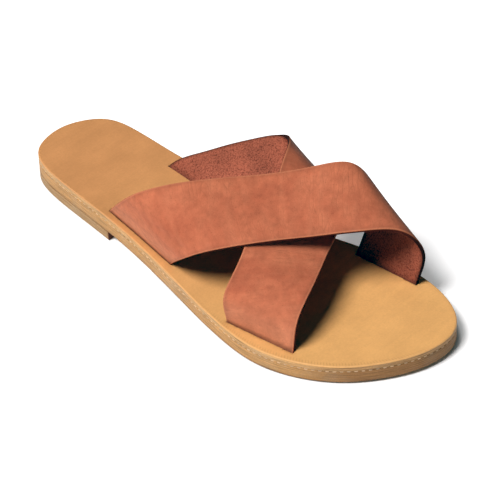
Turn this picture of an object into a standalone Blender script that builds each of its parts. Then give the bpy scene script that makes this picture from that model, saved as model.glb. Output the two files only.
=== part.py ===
"""Flat leather slide for the right foot: a layered sole and two straps that cross over the foot.

The sandal stands on z = 0. Its toe points along +Y and its outer (lateral) side along +X.
Sizes and tables are in millimetres, and a mesh is scaled to metres as it is made.
A station is a distance along the sole from the end of the heel.
"""

import math

import bmesh
import bpy
import numpy as np

MM = 0.001

# Sole
SOLE_LENGTH = 250.0
OUTSOLE_THICKNESS = 6.8
INSOLE_THICKNESS = 3.2
LAYER_GAP = 0.3
SOLE_EDGE_ROUND = 0.5
SOLE_EDGE_ROUND_CELLS = 2
SOLE_ROWS = 44
SOLE_COLUMNS = 12

# Heel lift, the rise it gives the sole, and the small lift of the toe
HEEL_RISE = 5.0
HEEL_BREAST_STATION = 70.0
HEEL_OUTLINE_POINTS = 120
BREAST_CUT_MARGIN = 10.0
BREAST_CUT_WIDTH = 150.0
BREAST_CUT_HEIGHT = 40.0
ARCH_END_STATION = 150.0
TOE_SPRING_STATION = 196.0
TOE_SPRING = 1.8

# Straps
STRAP_THICKNESS = 1.9
STRAP_LENGTH_CELLS = 72
STRAP_WIDTH_CELLS = 8
STRAP_SAMPLES = 480
LEG_END_CLEARANCE = 1.2
LEG_MAX_LEAN = 0.85
SLIT_CLEARANCE = 0.35
SLIT_CUT_CELLS = 5
SLIT_CUT_RUN_OUT = 4.0

# The middle of the sandal's box lies this far to the medial side of the sole's own axis
BOX_CENTRE_X = -6.22

# Angles at which a rim is rounded and at which shading breaks
ROUNDED_RIM_ANGLE = math.radians(50.0)
SHARP_RIM_ANGLE = math.radians(40.0)

# Plan of the sole: station, x of the medial edge and x of the lateral edge
HEEL_END_X = -0.4
TOE_END_X = -17.7
SOLE_PLAN = [
    (3.0, -13.0, 13.0),
    (12.0, -24.3, 21.2),
    (30.0, -28.5, 25.5),
    (60.0, -28.5, 28.5),
    (95.0, -29.5, 32.5),
    (130.0, -31.5, 38.0),
    (160.0, -39.0, 43.5),
    (185.0, -45.0, 45.0),
    (207.0, -46.5, 39.0),
    (226.0, -43.5, 27.0),
    (241.0, -36.0, 9.0),
    (248.0, -27.5, -5.5),
]

# The outer face of each strap, from the lateral slit to the medial slit. A row is one fold across it:
# rear x, rear station, rear height, front x, front station, front height above the floor.
# A slit is its rear end and its front end (x, station), at the height of the insole.
OVER_LATERAL_SLIT = ((25.5, 67.5), (31.0, 116.5))
OVER_MEDIAL_SLIT = ((-39.0, 175.5), (-41.5, 212.5))
OVER_STRAP = [
    (32.5, 83.5, 34.0, 37.0, 129.5, 26.5),
    (32.0, 100.0, 50.0, 36.0, 143.5, 38.5),
    (18.5, 116.0, 56.5, 26.0, 157.5, 44.5),
    (0.0, 132.0, 57.5, 11.0, 171.0, 46.0),
    (-18.0, 148.5, 59.0, -4.0, 185.0, 48.0),
    (-29.5, 158.4, 61.0, -11.8, 191.5, 48.6),
    (-41.0, 168.4, 61.3, -19.5, 198.0, 49.0),
    (-48.0, 174.5, 50.0, -34.5, 209.0, 45.0),
    (-50.5, 175.0, 30.0, -42.0, 216.0, 30.0),
]
UNDER_LATERAL_SLIT = ((40.5, 163.5), (35.0, 202.0))
UNDER_MEDIAL_SLIT = ((-21.2, 64.6), (-18.0, 113.0))
UNDER_STRAP = [
    (43.5, 165.5, 29.5, 31.0, 201.5, 27.0),
    (30.0, 162.5, 40.5, 14.0, 195.5, 34.0),
    (13.5, 156.0, 47.0, -5.0, 186.5, 35.5),
    (-5.0, 149.5, 48.0, -24.5, 177.5, 36.5),
    (-24.5, 137.5, 49.5, -42.0, 167.5, 33.5),
    (-46.5, 123.3, 47.0, -53.0, 155.0, 24.5),
    (-57.7, 107.7, 36.2, -48.0, 141.0, 17.5),
    (-39.5, 87.0, 28.5, -33.5, 126.5, 17.0),
    (-29.5, 76.0, 23.4, -25.8, 119.8, 15.2),
]

# Colours (linear RGB) and roughness
STRAP_COLOUR = (0.546, 0.150, 0.075, 1.0)
STRAP_ROUGHNESS = 0.75
INSOLE_COLOUR = (0.745, 0.402, 0.147, 1.0)
INSOLE_ROUGHNESS = 0.55
OUTSOLE_COLOUR = (0.520, 0.283, 0.120, 1.0)
OUTSOLE_ROUGHNESS = 0.6
LIFT_COLOUR = (0.330, 0.180, 0.082, 1.0)
LIFT_ROUGHNESS = 0.65


def cubic(knots, values, query):
    """Cubic spline with free ends through the rows of values, read at each query."""
    knots = np.asarray(knots, dtype=float)
    values = np.asarray(values, dtype=float).reshape(len(knots), -1)
    query = np.asarray(query, dtype=float)
    size = len(knots)
    gap = np.diff(knots)
    rise = np.diff(values, axis=0) / gap[:, None]
    system = np.eye(size)
    load = np.zeros_like(values)
    for row in range(1, size - 1):
        system[row, row - 1] = gap[row - 1]
        system[row, row] = 2.0 * (gap[row - 1] + gap[row])
        system[row, row + 1] = gap[row]
        load[row] = 6.0 * (rise[row] - rise[row - 1])
    bend = np.linalg.solve(system, load)
    cell = np.clip(np.searchsorted(knots, query) - 1, 0, size - 2)
    step = (query - knots[cell])[:, None]
    width = gap[cell][:, None]
    slope = rise[cell] - width * (2.0 * bend[cell] + bend[cell + 1]) / 6.0
    twist = (bend[cell + 1] - bend[cell]) / (6.0 * width)
    return values[cell] + step * (slope + step * (0.5 * bend[cell] + step * twist))


def plan_angle(station):
    """Angle around the plan that goes with a station: 0 at the heel end and pi at the toe end."""
    return np.arccos(np.clip(1.0 - 2.0 * np.asarray(station) / SOLE_LENGTH, -1.0, 1.0))


def sole_edge(angle):
    """X of the sole's edge at an angle around the plan, lateral side first, as a closed spline."""
    stations, medial, lateral = np.array(SOLE_PLAN).T
    around = plan_angle(stations)
    turn = 2.0 * math.pi
    knots = np.concatenate([[0.0], around, [math.pi], turn - around[::-1]])
    edge = np.concatenate([[HEEL_END_X], lateral, [TOE_END_X], medial[::-1]])
    knots = np.concatenate([knots - turn, knots, knots + turn])
    return cubic(knots, np.tile(edge, 3), angle)[:, 0]


def sole_rise(station):
    """Height of the outsole's underside: the heel's rise, a smooth arch, a flat ball and the toe spring."""
    station = np.asarray(station, dtype=float)
    arch = np.clip((station - HEEL_BREAST_STATION) / (ARCH_END_STATION - HEEL_BREAST_STATION), 0.0, 1.0)
    heel = HEEL_RISE * (1.0 - arch * arch * (3.0 - 2.0 * arch))
    toe = np.clip((station - TOE_SPRING_STATION) / (SOLE_LENGTH - TOE_SPRING_STATION), 0.0, 1.0)
    return heel + TOE_SPRING * toe * toe


def outsole_top(station):
    """Height of the outsole's upper face."""
    return sole_rise(station) + OUTSOLE_THICKNESS


def insole_top(station):
    """Height of the insole's upper face."""
    return outsole_top(station) + LAYER_GAP + INSOLE_THICKNESS


def to_metres(points):
    """Points of x, station and height as metres in the sandal's own frame."""
    points = np.asarray(points, dtype=float)
    moved = points - np.array([BOX_CENTRE_X, 0.5 * SOLE_LENGTH, 0.0])
    return moved * MM


def set_points(shape, points):
    """Move the vertices of a bmesh to the given points, in metres."""
    for vertex, point in zip(shape.verts, points):
        vertex.co = point


def new_object(name, shape, collection):
    """Object with its mesh made from a bmesh."""
    mesh = bpy.data.meshes.new(name)
    shape.to_mesh(mesh)
    shape.free()
    thing = bpy.data.objects.new(name, mesh)
    collection.objects.link(thing)
    return thing


def as_cutter(thing):
    """Mark an object as a tool for a Boolean, which isn't a part of the sandal."""
    thing.hide_render = True
    thing.display_type = "WIRE"


def add_boolean(thing, operation, other):
    """Exact Boolean with another object."""
    step = thing.modifiers.new(operation.title(), "BOOLEAN")
    step.operation = operation
    step.solver = "EXACT"
    step.object = other


def add_edge_round(thing, width):
    """Rounded rims where a face turns sharply."""
    step = thing.modifiers.new("Edge round", "BEVEL")
    step.width = width * MM
    step.segments = SOLE_EDGE_ROUND_CELLS
    step.limit_method = "ANGLE"
    step.angle_limit = ROUNDED_RIM_ANGLE


def add_thickness(thing, outward, inward):
    """Give an open surface its thickness, so much outward and so much inward."""
    step = thing.modifiers.new("Thickness", "SOLIDIFY")
    step.thickness = (outward + inward) * MM
    step.offset = (outward - inward) / (outward + inward)
    step.use_even_offset = True
    step.use_quality_normals = True


def give_material(thing, name, colour, roughness):
    """Principled material of one colour."""
    material = bpy.data.materials.new(name)
    material.use_nodes = True
    shader = material.node_tree.nodes["Principled BSDF"]
    shader.inputs["Base Color"].default_value = colour
    shader.inputs["Roughness"].default_value = roughness
    shader.inputs["Metallic"].default_value = 0.0
    material.diffuse_color = colour
    thing.data.materials.append(material)


def shade(thing):
    """Smooth shading with sharp rims."""
    thing.data.shade_smooth()
    thing.data.set_sharp_from_angle(angle=SHARP_RIM_ANGLE)


def make_sole_layer(name, thickness, underside, collection):
    """One layer of the sole: a grid laid into the plan, raised to its thickness and bent to the profile.

    A square grid becomes a disc (each side shrinks by the root of one minus half the other's square),
    and the disc is stretched to the two edges of the plan at its station.
    """
    shape = bmesh.new()
    bmesh.ops.create_grid(shape, x_segments=SOLE_COLUMNS, y_segments=SOLE_ROWS, size=1.0)
    square = np.array([vertex.co[:] for vertex in shape.verts])
    across = square[:, 0] * np.sqrt(1.0 - 0.5 * square[:, 1] ** 2)
    along = square[:, 1] * np.sqrt(1.0 - 0.5 * square[:, 0] ** 2)
    room = np.sqrt(np.maximum(1.0 - along ** 2, 1e-12))
    share = 0.5 + 0.5 * np.clip(across / room, -1.0, 1.0)
    angle = np.arccos(np.clip(-along, -1.0, 1.0))
    station = 0.5 * SOLE_LENGTH * (1.0 + along)
    medial = sole_edge(2.0 * math.pi - angle)
    lateral = sole_edge(angle)
    x = medial + (lateral - medial) * share
    set_points(shape, to_metres(np.column_stack([x, station, underside(station)])))
    raised = bmesh.ops.extrude_face_region(shape, geom=shape.faces[:])
    top = [item for item in raised["geom"] if isinstance(item, bmesh.types.BMVert)]
    bmesh.ops.translate(shape, verts=top, vec=(0.0, 0.0, thickness * MM))
    bmesh.ops.recalc_face_normals(shape, faces=shape.faces[:])
    layer = new_object(name, shape, collection)
    add_edge_round(layer, SOLE_EDGE_ROUND)
    return layer


def make_heel_lift(name, collection, tools):
    """The lift under the heel: the sole's plan as a flat plate, cut straight across at the breast."""
    outline = bpy.data.curves.new(name + "_outline", "CURVE")
    outline.dimensions = "2D"
    outline.fill_mode = "BOTH"
    thickness = HEEL_RISE - LAYER_GAP
    outline.extrude = 0.5 * thickness * MM
    angle = np.linspace(0.0, 2.0 * math.pi, HEEL_OUTLINE_POINTS, endpoint=False)
    station = 0.5 * SOLE_LENGTH * (1.0 - np.cos(angle))
    points = to_metres(np.column_stack([sole_edge(angle), station, np.zeros_like(angle)]))
    line = outline.splines.new("POLY")
    line.points.add(len(points) - 1)
    for spot, point in zip(line.points, points):
        spot.co = (point[0], point[1], 0.0, 1.0)
    line.use_cyclic_u = True
    drawn = bpy.data.objects.new(name + "_drawn", outline)
    collection.objects.link(drawn)
    drawn.location.z = 0.5 * thickness * MM
    bpy.context.view_layer.update()
    plate = bpy.data.meshes.new_from_object(drawn.evaluated_get(bpy.context.evaluated_depsgraph_get()))
    place = drawn.matrix_world.copy()
    bpy.data.objects.remove(drawn)
    shape = bmesh.new()
    shape.from_mesh(plate)
    bmesh.ops.remove_doubles(shape, verts=shape.verts[:], dist=0.000001)
    bmesh.ops.recalc_face_normals(shape, faces=shape.faces[:])
    shape.transform(place)
    lift = new_object(name, shape, collection)
    bpy.data.meshes.remove(plate)
    block = bmesh.new()
    bmesh.ops.create_cube(block, size=1.0)
    front = SOLE_LENGTH - HEEL_BREAST_STATION + BREAST_CUT_MARGIN
    middle = to_metres([0.0, HEEL_BREAST_STATION + 0.5 * front, 0.0])
    size = np.array([BREAST_CUT_WIDTH, front, BREAST_CUT_HEIGHT]) * MM
    corners = np.array([vertex.co[:] for vertex in block.verts]) * size + middle
    set_points(block, corners)
    cutter = new_object(name + "_front_cut", block, tools)
    as_cutter(cutter)
    add_boolean(lift, "DIFFERENCE", cutter)
    return lift


def strap_edge(folds, first_slit, last_slit, cells):
    """Points along one edge of a strap, evenly spaced from the foot of one leg to the foot of the other.

    The edge is a spline over the length of its chords. Inside the insole each leg keeps the lean of
    its first free fold, up to the greatest lean that a slit takes.
    """
    def leg(slit, fold):
        x, station = slit
        mouth = np.array([x, station, insole_top(station)])
        way = np.asarray(fold) - mouth
        lean = way[:2] / max(way[2], 1.0)
        lean = lean * min(1.0, LEG_MAX_LEAN / max(np.hypot(lean[0], lean[1]), 1e-6))
        depth = INSOLE_THICKNESS + LAYER_GAP - LEG_END_CLEARANCE
        foot = mouth - depth * np.array([lean[0], lean[1], 1.0])
        return foot, mouth

    first_foot, first_mouth = leg(first_slit, folds[0])
    last_foot, last_mouth = leg(last_slit, folds[-1])
    points = np.array([first_foot, first_mouth, *folds, last_mouth, last_foot])
    knots = np.concatenate([[0.0], np.cumsum(np.linalg.norm(np.diff(points, axis=0), axis=1))])
    fine = np.linspace(0.0, knots[-1], STRAP_SAMPLES)
    path = cubic(knots, points, fine)
    run = np.concatenate([[0.0], np.cumsum(np.linalg.norm(np.diff(path, axis=0), axis=1))])
    even = np.linspace(0.0, run[-1], cells + 1)
    return np.column_stack([np.interp(even, run, path[:, axis]) for axis in range(3)])


def strap_surface(table, lateral_slit, medial_slit):
    """Grid of points of a strap's outer face, ruled from its rear edge to its front edge."""
    rear_folds = [row[0:3] for row in table]
    front_folds = [row[3:6] for row in table]
    rear = strap_edge(rear_folds, lateral_slit[0], medial_slit[0], STRAP_LENGTH_CELLS)
    front = strap_edge(front_folds, lateral_slit[1], medial_slit[1], STRAP_LENGTH_CELLS)
    share = np.linspace(0.0, 1.0, STRAP_WIDTH_CELLS + 1)[None, :, None]
    return rear[:, None, :] * (1.0 - share) + front[:, None, :] * share


def make_sheet(name, surface, outward, inward, collection):
    """A grid laid on a surface of points and given its thickness to each side."""
    rows, columns = surface.shape[:2]
    shape = bmesh.new()
    bmesh.ops.create_grid(shape, x_segments=columns - 1, y_segments=rows - 1, size=1.0)
    set_points(shape, to_metres(surface.reshape(-1, 3)))
    sheet = new_object(name, shape, collection)
    add_thickness(sheet, outward, inward)
    return sheet


def run_out(foot, above):
    """A row of points a little past the foot of a leg."""
    way = foot - above
    return foot + way / np.linalg.norm(way, axis=1)[:, None] * SLIT_CUT_RUN_OUT


def make_slit_cutter(name, leg, collection):
    """A thicker, wider copy of the end of a leg, which cuts its slit."""
    leg = leg.copy()
    width = leg[:, -1] - leg[:, 0]
    width = width / np.linalg.norm(width, axis=1)[:, None]
    leg[:, 0] -= width * SLIT_CLEARANCE
    leg[:, -1] += width * SLIT_CLEARANCE
    cutter = make_sheet(name, leg, SLIT_CLEARANCE, STRAP_THICKNESS + SLIT_CLEARANCE, collection)
    as_cutter(cutter)
    return cutter


def main():
    """Build the sole's layers, the heel lift and the crossed straps."""
    for thing in list(bpy.data.objects):
        bpy.data.objects.remove(thing)
    parts = bpy.data.collections.new("flat_sandal")
    tools = bpy.data.collections.new("flat_sandal_tools")
    bpy.context.scene.collection.children.link(parts)
    bpy.context.scene.collection.children.link(tools)

    outsole = make_sole_layer("outsole", OUTSOLE_THICKNESS, sole_rise, parts)
    insole = make_sole_layer("insole", INSOLE_THICKNESS, lambda s: outsole_top(s) + LAYER_GAP, parts)
    lift = make_heel_lift("heel_lift", parts, tools)

    over = strap_surface(OVER_STRAP, OVER_LATERAL_SLIT, OVER_MEDIAL_SLIT)
    under = strap_surface(UNDER_STRAP, UNDER_LATERAL_SLIT, UNDER_MEDIAL_SLIT)
    for name, surface in (("over", over), ("under", under)):
        lateral = [run_out(surface[0], surface[1]), *surface[:SLIT_CUT_CELLS + 1]]
        medial = [*surface[-SLIT_CUT_CELLS - 1:], run_out(surface[-1], surface[-2])]
        for side, leg in (("lateral", lateral), ("medial", medial)):
            cutter = make_slit_cutter(name + "_" + side + "_slit", np.array(leg), tools)
            add_boolean(insole, "DIFFERENCE", cutter)

    upper = make_sheet("upper", over, 0.0, STRAP_THICKNESS, parts)
    under_strap = make_sheet("under_strap", under, 0.0, STRAP_THICKNESS, tools)
    as_cutter(under_strap)
    add_boolean(upper, "UNION", under_strap)

    give_material(upper, "strap_leather", STRAP_COLOUR, STRAP_ROUGHNESS)
    give_material(insole, "insole_leather", INSOLE_COLOUR, INSOLE_ROUGHNESS)
    give_material(outsole, "outsole_leather", OUTSOLE_COLOUR, OUTSOLE_ROUGHNESS)
    give_material(lift, "heel_lift_leather", LIFT_COLOUR, LIFT_ROUGHNESS)
    for thing in (upper, insole, outsole, lift):
        shade(thing)


main()
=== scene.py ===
"""Looks of a flat leather slide for the right foot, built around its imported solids.

Two crossed straps of nubuck leather pass through slits in a tan leather insole, which is stitched
to a leather outsole over a low heel lift. Tables are in millimetres: x across the sole from its own
axis (lateral side positive), station along the sole from the end of the heel, height above the floor.
"""

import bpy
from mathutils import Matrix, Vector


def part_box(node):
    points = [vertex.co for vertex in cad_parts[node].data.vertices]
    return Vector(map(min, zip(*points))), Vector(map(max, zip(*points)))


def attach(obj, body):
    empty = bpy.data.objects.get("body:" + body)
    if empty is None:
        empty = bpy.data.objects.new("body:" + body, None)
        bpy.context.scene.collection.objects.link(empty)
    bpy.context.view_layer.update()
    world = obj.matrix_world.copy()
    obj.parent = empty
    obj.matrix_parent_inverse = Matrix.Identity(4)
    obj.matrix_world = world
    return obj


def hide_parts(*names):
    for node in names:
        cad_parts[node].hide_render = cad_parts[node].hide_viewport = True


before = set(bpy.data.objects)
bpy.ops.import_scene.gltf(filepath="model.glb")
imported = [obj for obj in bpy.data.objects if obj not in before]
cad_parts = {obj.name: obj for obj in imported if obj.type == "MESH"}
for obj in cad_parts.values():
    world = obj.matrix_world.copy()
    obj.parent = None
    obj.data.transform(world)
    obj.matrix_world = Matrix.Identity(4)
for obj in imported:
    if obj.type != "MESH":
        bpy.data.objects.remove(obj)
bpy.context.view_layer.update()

import math

import bpy
import numpy as np
from mathutils import Quaternion, Vector

bl_info = {
    "name": "Crossed-strap sandal",
    "version": (1, 0, 0),
    "blender": (4, 5, 0),
    "location": "3D View > Sidebar > Sandal",
    "description": "Builds the straps, layered sole and stitching of a flat sandal",
    "category": "Object",
}

MM = 0.001
BODY = "root"
SHARP_ANGLE = math.radians(55.0)
LEATHER_IOR = 1.45

# Sole
SOLE_LENGTH = 250.0
HEEL_END_X = -0.4
TOE_END_X = -17.7
SOLE_PLAN_COLUMNS = ("station", "medial", "lateral")
SOLE_PLAN = [
    (3.0, -13.0, 13.0),
    (12.0, -24.3, 21.2),
    (30.0, -28.5, 25.5),
    (60.0, -28.5, 28.5),
    (95.0, -29.5, 32.5),
    (130.0, -31.5, 38.0),
    (160.0, -39.0, 43.5),
    (185.0, -45.0, 45.0),
    (207.0, -46.5, 39.0),
    (226.0, -43.5, 27.0),
    (241.0, -36.0, 9.0),
    (248.0, -27.5, -5.5),
]
OUTSOLE_THICKNESS = 6.8
INSOLE_THICKNESS = 3.2
LAYER_GAP = 0.3
HEEL_RISE = 5.0
SOLE_CENTRE = np.array([0.0, 125.0])
SOLE_HALF = np.array([45.0, 125.0])
HEEL_CENTRE = np.array([0.0, 35.0])
HEEL_HALF = np.array([28.0, 35.0])
HEEL_BREAST_STATION = 70.0
ARCH_END_STATION = 150.0
TOE_SPRING_STATION = 196.0
TOE_SPRING = 1.8
AXIS_SAMPLES = 721

# Rims of the layers: flat apron, shoulder radius and foot radius. Cells run across and along a layer
INSOLE_RIM, INSOLE_CELLS = (3.0, 0.7, 0.35), (64, 180)
OUTSOLE_RIM, OUTSOLE_CELLS = (1.5, 0.35, 0.9), (40, 150)
HEEL_RIM, HEEL_CELLS = (1.0, 0.25, 0.6), (40, 60)
ARC_STEPS, APRON_STEPS, SIDE_STEPS = 5, 4, 5
SEAM_CLOSE = 0.22
LEVEL_MARGIN = 0.01

# Marks on the insole: strength and reach of the dip at the slits, of the painted shade there and of the
# rubbing at the rim. A band on the rim is its inset, half width and fade
SLIT_DIP, SLIT_DIP_REACH = 0.3, 2.2
SLIT_SHADE, SLIT_SHADE_REACH = 0.55, 1.2
RIM_RUB, RIM_RUB_REACH = 0.15, 2.0
WHEEL_PITCH, WHEEL_BAND = 1.5, (1.5, 0.6, 2.0 / 3.0)
WHEEL_STATION, WHEEL_RUN = 140.0, 20.0
WHEEL_SIDE, WHEEL_SIDE_RUN = -12.0, 12.0
BEVEL_PALE, BEVEL_BAND = 0.2, (0.3, 0.0, 0.4)

# Painted shade on the sole's edge: round the toe from a station on, along its foot and at the heel's breast
TOE_SHADE_STATION, TOE_SHADE_RUN = 205.0, 25.0
INSOLE_TOE_SHADE, OUTSOLE_TOE_SHADE = 0.25, 0.46
FOOT_SHADE, FOOT_SHADE_HEIGHT = 0.55, 1.6
BREAST_SHADE_RUN = 1.0

# Thread: a bead has rings of six points, bows out of the seam and is seated in it
EDGE_SAMPLES = 4001
STITCH_RINGS, STITCH_SIDES = 7, 6
STITCH_BOW, STITCH_SEAT = 0.25, 0.3
STITCH_TAPER, STITCH_TIP = 1.5, 0.05

# Straps: a row is one fold across the outer face, x, station and height at its rear end and then at its
# front end. A slit has x and station of its rear end and of its front end
OVER_LATERAL_SLIT = ((25.5, 67.5), (31.0, 116.5))
OVER_MEDIAL_SLIT = ((-39.0, 175.5), (-41.5, 212.5))
OVER_STRAP = [
    (32.5, 83.5, 34.0, 37.0, 129.5, 26.5),
    (32.0, 100.0, 50.0, 36.0, 143.5, 38.5),
    (18.5, 116.0, 56.5, 26.0, 157.5, 44.5),
    (0.0, 132.0, 57.5, 11.0, 171.0, 46.0),
    (-18.0, 148.5, 59.0, -4.0, 185.0, 48.0),
    (-29.5, 158.4, 61.0, -11.8, 191.5, 48.6),
    (-41.0, 168.4, 61.3, -19.5, 198.0, 49.0),
    (-48.0, 174.5, 50.0, -34.5, 209.0, 45.0),
    (-50.5, 175.0, 30.0, -42.0, 216.0, 30.0),
]
UNDER_LATERAL_SLIT = ((40.5, 163.5), (35.0, 202.0))
UNDER_MEDIAL_SLIT = ((-21.2, 64.6), (-18.0, 113.0))
UNDER_STRAP = [
    (43.5, 165.5, 29.5, 31.0, 201.5, 27.0),
    (30.0, 162.5, 40.5, 14.0, 195.5, 34.0),
    (13.5, 156.0, 47.0, -5.0, 186.5, 35.5),
    (-5.0, 149.5, 48.0, -24.5, 177.5, 36.5),
    (-24.5, 137.5, 49.5, -42.0, 167.5, 33.5),
    (-46.5, 123.3, 47.0, -53.0, 155.0, 24.5),
    (-57.7, 107.7, 36.2, -48.0, 141.0, 17.5),
    (-39.5, 87.0, 28.5, -33.5, 126.5, 17.0),
    (-29.5, 76.0, 23.4, -25.8, 119.8, 15.2),
]
LEG_END_CLEARANCE = 1.2
LEG_MAX_LEAN = 0.85
SLITS = (OVER_LATERAL_SLIT, OVER_MEDIAL_SLIT, UNDER_LATERAL_SLIT, UNDER_MEDIAL_SLIT)
STRAPS = (
    ("strap_over", OVER_STRAP, OVER_LATERAL_SLIT, OVER_MEDIAL_SLIT),
    ("strap_under", UNDER_STRAP, UNDER_LATERAL_SLIT, UNDER_MEDIAL_SLIT),
)
STRAP_ROWS = 360
STRAP_CELLS = 40
SLIT_CUT_ROWS = 73
SLIT_CUT_END = 6
SLIT_CUT_CELLS = 12
SLIT_RUN_OUT = 1.5

# Soft creases: where along the strap (share of its length), how far the crease slants from the rear
# edge to the front edge (mm), its half width (mm) and its depth (mm, a ridge is negative)
OVER_CREASES = [
    (0.10, 9.0, 1.6, 0.16),
    (0.135, -6.0, 2.2, 0.22),
    (0.17, 12.0, 5.0, 0.55),
    (0.24, 3.0, 3.0, 0.18),
    (0.30, -7.0, 9.0, -0.55),
    (0.40, 5.0, 4.0, 0.25),
    (0.50, -4.0, 11.0, 0.55),
    (0.63, -9.0, 8.0, -0.45),
    (0.70, 6.0, 5.0, 0.30),
    (0.80, 10.0, 14.0, -0.80),
    (0.90, 5.0, 4.0, 0.25),
]
UNDER_CREASES = [
    (0.09, 4.0, 2.0, 0.18),
    (0.16, -5.0, 6.0, 0.50),
    (0.255, 9.0, 8.0, 0.80),
    (0.34, -3.0, 7.0, -0.25),
    (0.44, 6.0, 10.0, 0.45),
    (0.635, 0.0, 11.0, 1.90),
    (0.72, -5.0, 4.0, 0.30),
    (0.82, -6.0, 7.0, 0.45),
]
# Share of a crease's depth at the strap's edges, and how far from the strap's ends the creases grow
CREASE_EDGE_SHARE = 0.45
CREASE_START, CREASE_RUN = 6.0, 12.0

# Where the over strap's front edge stands up: share of its length, half width (mm) and height (mm)
OVER_CURLS = [(0.45, 22.0, 1.6)]
# How far the nap's streaks lean along a strap for each millimetre across it
OVER_GRAIN_LEAN = 0.47
UNDER_GRAIN_LEAN = -0.6
STRAP_LOOKS = (
    (OVER_CREASES, OVER_CURLS, OVER_GRAIN_LEAN),
    (UNDER_CREASES, (), UNDER_GRAIN_LEAN),
)
# How far a face has to look to the medial side to count as the outside of a fold, where shade is painted
FOLD_SHADE_START, FOLD_SHADE_RUN = 0.3, 0.5

# Camera at the photograph's angle: x, station and height (mm), with the tilt of the picture
CAMERA_PLACE = (741.2, 905.3, 929.1)
CAMERA_AIM = (-0.27, 139.55, 15.17)
CAMERA_ROLL = math.radians(-2.33)
CAMERA_LENS_MM = 208.3
CAMERA_SENSOR_MM = 36.0

# Lights: which way each one lies from the sandal, its spread (degrees) and its strength
LIGHTS = {
    "key": ((0.60, -0.11, 1.0), 24.0, 4.37),
    "fill": ((0.80, 0.90, 0.7), 60.0, 0.10),
}
AMBIENT = 0.03
AMBIENT_COLOUR = (0.75, 0.88, 1.0)

# Floor (metres), and the painted glow of its paper away from what stands on it
FLOOR_HALF, FLOOR_DROP = 10.0, 0.0002
PAPER_GLOW = 0.36
CONTACT_REACH, CONTACT_FADE = 0.0035, 6.0
BLACK_LEVEL = (0.029, 0.002, -0.0025)


def linear(hex_colour):
    """Linear RGB of an sRGB hex colour: a straight start, then a power of 2.4."""
    shares = np.array([int(hex_colour[i:i + 2], 16) / 255.0 for i in (1, 3, 5)])
    low = shares / 12.92
    high = ((shares + 0.055) / 1.055) ** 2.4
    return tuple(np.where(shares <= 0.04045, low, high))


def size_property(name, description, millimetres):
    """A length that a user may change."""
    return bpy.props.FloatProperty(
        name=name, description=description, default=millimetres * MM, min=0.0, unit="LENGTH", precision=4
    )


def colour_property(name, description, hex_colour):
    """A colour that a user may change."""
    return bpy.props.FloatVectorProperty(
        name=name, description=description, default=linear(hex_colour), size=3, min=0.0, max=1.0,
        subtype="COLOR",
    )


class SandalSizes(bpy.types.PropertyGroup):
    """Sizes of the finish."""

    strap_thickness: size_property("Strap thickness", "Thickness of the strap leather", 1.9)
    strap_edge_round: size_property("Strap edge round", "Rounding of the cut edges of a strap", 0.5)
    slit_clearance: size_property("Slit clearance", "Room around a strap in its slit", 0.2)
    stitch_pitch: size_property("Stitch pitch", "Distance from stitch to stitch around the sole", 3.4)
    stitch_length: size_property("Stitch length", "Length of thread that shows at a stitch", 1.9)
    thread_diameter: size_property("Thread diameter", "Diameter of the waxed sole thread", 0.4)


class SandalColours(bpy.types.PropertyGroup):
    """Colours of the finish."""

    strap: colour_property("Strap", "Nap side of the straps", "#B76949")
    strap_dark: colour_property("Strap shade", "Darker clouds in the nap", "#A6593D")
    strap_light: colour_property("Strap lights", "Paler clouds in the nap", "#C47957")
    # Painted light low on the legs, and a painted highlight with wear along the cut corner
    strap_wear_and_painted_light: colour_property("Strap pull-up", "Paler nap where the legs bend down", "#CF8C68")
    flesh: colour_property("Flesh side", "Rough inner side of the straps", "#A45B44")
    flesh_dark: colour_property("Flesh side pits", "Pits between the fibres of the inner side", "#663123")
    cut_edge: colour_property("Cut edge", "Worn corner of the strap's cut edge", "#B86F4E")
    cut_core: colour_property("Cut core", "Raw fibre inside the strap's cut edge", "#5A2618")
    insole_toe: colour_property("Insole at the toe", "Tan leather of the forefoot", "#D39E60")
    insole_heel: colour_property("Insole at the heel", "Tan leather of the heel seat", "#C08653")
    # Rubbing at the insole's rim, and painted shade along the slits
    insole_rim_rub_and_shade: colour_property("Insole rim", "Burnished rim of the insole", "#AC7B46")
    insole_bevel: colour_property("Insole bevel", "Pale worn bevel of the insole", "#DDAE74")
    edge: colour_property("Sole edge", "Cut edge of the sole leather", "#D0A26C")
    outsole_edge: colour_property("Outsole edge", "Cut edge of the outsole", "#C4935C")
    edge_dark: colour_property("Sole edge fibres", "Dark fibres in the cut edge", "#8C6A44")
    edge_scuff: colour_property("Sole edge scuffs", "Grey scuffs on the cut edge", "#A8967C")
    # Painted shade on the sole's edge at the toe, the heel breast and the foot
    edge_painted_shade: colour_property("Sole edge stain", "Stain at the toe, the heel breast and the foot", "#5A2A14")
    lift: colour_property("Heel lift", "Darker leather of the heel lift", "#AC8A64")
    underside: colour_property("Underside", "Buffed leather under the sole", "#AC855B")
    thread: colour_property("Thread", "Waxed linen sole thread", "#CBA983")
    floor: colour_property("Floor", "Pale floor", "#EDEDED")


def grow(value, start, run):
    """Share that grows evenly from 0 at a start to 1 a run further on."""
    return np.clip((value - start) / run, 0.0, 1.0)


def bell(distance, reach):
    """Bell curve: e to the minus square of a distance over a reach."""
    return np.exp(-(distance / reach) ** 2)


def band(gap, middle, half, fade):
    """Share that is 1 within a half width of a middle, and falls to 0 over a fade."""
    return 1.0 - grow(np.abs(gap - middle), half, fade)


def path_length(points):
    """Length run at each of a row of points: the sum of the steps before it."""
    return np.concatenate([[0.0], np.cumsum(np.linalg.norm(np.diff(points, axis=0), axis=1))])


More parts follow.
